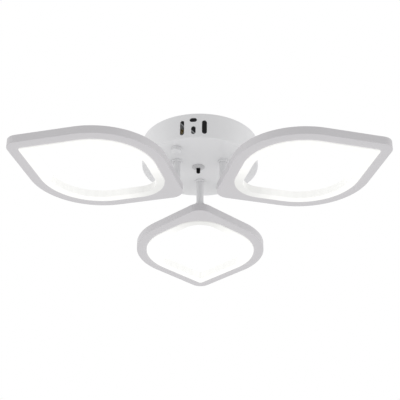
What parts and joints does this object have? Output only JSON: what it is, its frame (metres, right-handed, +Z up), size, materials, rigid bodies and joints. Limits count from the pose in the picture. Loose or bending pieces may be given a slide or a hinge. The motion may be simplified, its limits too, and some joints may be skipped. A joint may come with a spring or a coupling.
{
  "type": "ceiling light",
  "caption": "Flush ceiling light: a shallow round canopy with short stems that carry flat leaf-shaped lit rings, each turning on its stem.",
  "frame": {"origin": "middle of the ceiling plane, where the ceiling bar's screw circle and the canopy's rim lie", "axes": "+Z up into the ceiling, +Y along the rear petal, -Y towards the vents in the canopy's front wall"},
  "size_m": [0.4876, 0.4492, 0.0892],
  "materials": {
    "white_paint": "white powder coat, fine satin grain",
    "petal_paint": "white powder coat, slightly greyer, satin",
    "nut_paint": "white enamel over steel, semi-gloss",
    "milky_acrylic": "milky cast acrylic, lit from its edge",
    "diode_strip": "white coated strip with pale yellow diodes",
    "zinc_steel": "bright zinc plate",
    "brass": "plain turned brass",
    "nylon": "natural nylon",
    "terminal_plastic": "dark grey moulded nylon",
    "driver_plastic": "fine-grained moulded plastic",
    "circuit_board": "green solder mask",
    "transformer_tape": "yellow winding tape",
    "capacitor_sleeve": "dark shrink sleeve",
    "bezel_plastic": "pale grey moulded plastic, semi-gloss",
    "dark_lens": "near-black infrared window, polished",
    "white_lead": "white insulation",
    "brown_lead": "brown insulation",
    "green_lead": "green insulation"
  },
  "bodies": {
    "canopy": {"canopy_shell": "white_paint", "canopy_studs": "zinc_steel", "dome_nuts": "nut_paint", "driver_board": "circuit_board", "driver_capacitors": "capacitor_sleeve", "driver_case": "driver_plastic", "driver_lid": "driver_plastic", "driver_strap": "zinc_steel", "driver_transformer": "transformer_tape", "earth_lead": "green_lead", "earth_screw": "brass", "friction_washers": "nylon", "mains_leads": "brown_lead", "mounting_bar": "zinc_steel", "receiver_bezel": "bezel_plastic", "receiver_board": "circuit_board", "receiver_eye": "dark_lens", "receiver_lead": "white_lead", "ring_nuts": "zinc_steel", "stem_collar_left": "white_paint", "stem_collar_rear": "white_paint", "stem_collar_right": "white_paint", "stem_flange_left": "white_paint", "stem_flange_rear": "white_paint", "stem_flange_right": "white_paint", "stem_lead_left": "white_lead", "stem_lead_rear": "white_lead", "stem_lead_right": "white_lead", "stem_nuts": "zinc_steel", "stem_rod_left": "zinc_steel", "stem_rod_rear": "zinc_steel", "stem_rod_right": "zinc_steel", "stem_tube_left": "white_paint", "stem_tube_rear": "white_paint", "stem_tube_right": "white_paint", "stem_washers": "zinc_steel", "stud_lock_nuts": "zinc_steel", "terminal_block": "terminal_plastic", "terminal_screws": "zinc_steel"},
    "petal_rear": {"cover_screws_rear": "zinc_steel", "led_strip_rear": "diode_strip", "petal_bracket_rear": "zinc_steel", "petal_cover_rear": "white_paint", "petal_diffuser_rear": "milky_acrylic", "petal_frame_rear": "petal_paint", "petal_lead_rear": "white_lead"},
    "petal_left": {"cover_screws_left": "zinc_steel", "led_strip_left": "diode_strip", "petal_bracket_left": "zinc_steel", "petal_cover_left": "white_paint", "petal_diffuser_left": "milky_acrylic", "petal_frame_left": "petal_paint", "petal_lead_left": "white_lead"},
    "petal_right": {"cover_screws_right": "zinc_steel", "led_strip_right": "diode_strip", "petal_bracket_right": "zinc_steel", "petal_cover_right": "white_paint", "petal_diffuser_right": "milky_acrylic", "petal_frame_right": "petal_paint", "petal_lead_right": "white_lead"}
  },
  "joints": [
    {"name": "petal_swivel_rear", "type": "hinge", "parent": "canopy", "child": "petal_rear", "pos_m": [0, 0.0365, -0.079], "axis": [0, 0, 1], "range_deg": [-25, 25]},
    {"name": "petal_swivel_left", "type": "hinge", "parent": "canopy", "child": "petal_left", "pos_m": [-0.03161, -0.01825, -0.079], "axis": [0, 0, 1], "range_deg": [-25, 25]},
    {"name": "petal_swivel_right", "type": "hinge", "parent": "canopy", "child": "petal_right", "pos_m": [0.03161, -0.01825, -0.079], "axis": [0, 0, 1], "range_deg": [-25, 25]}
  ]
}
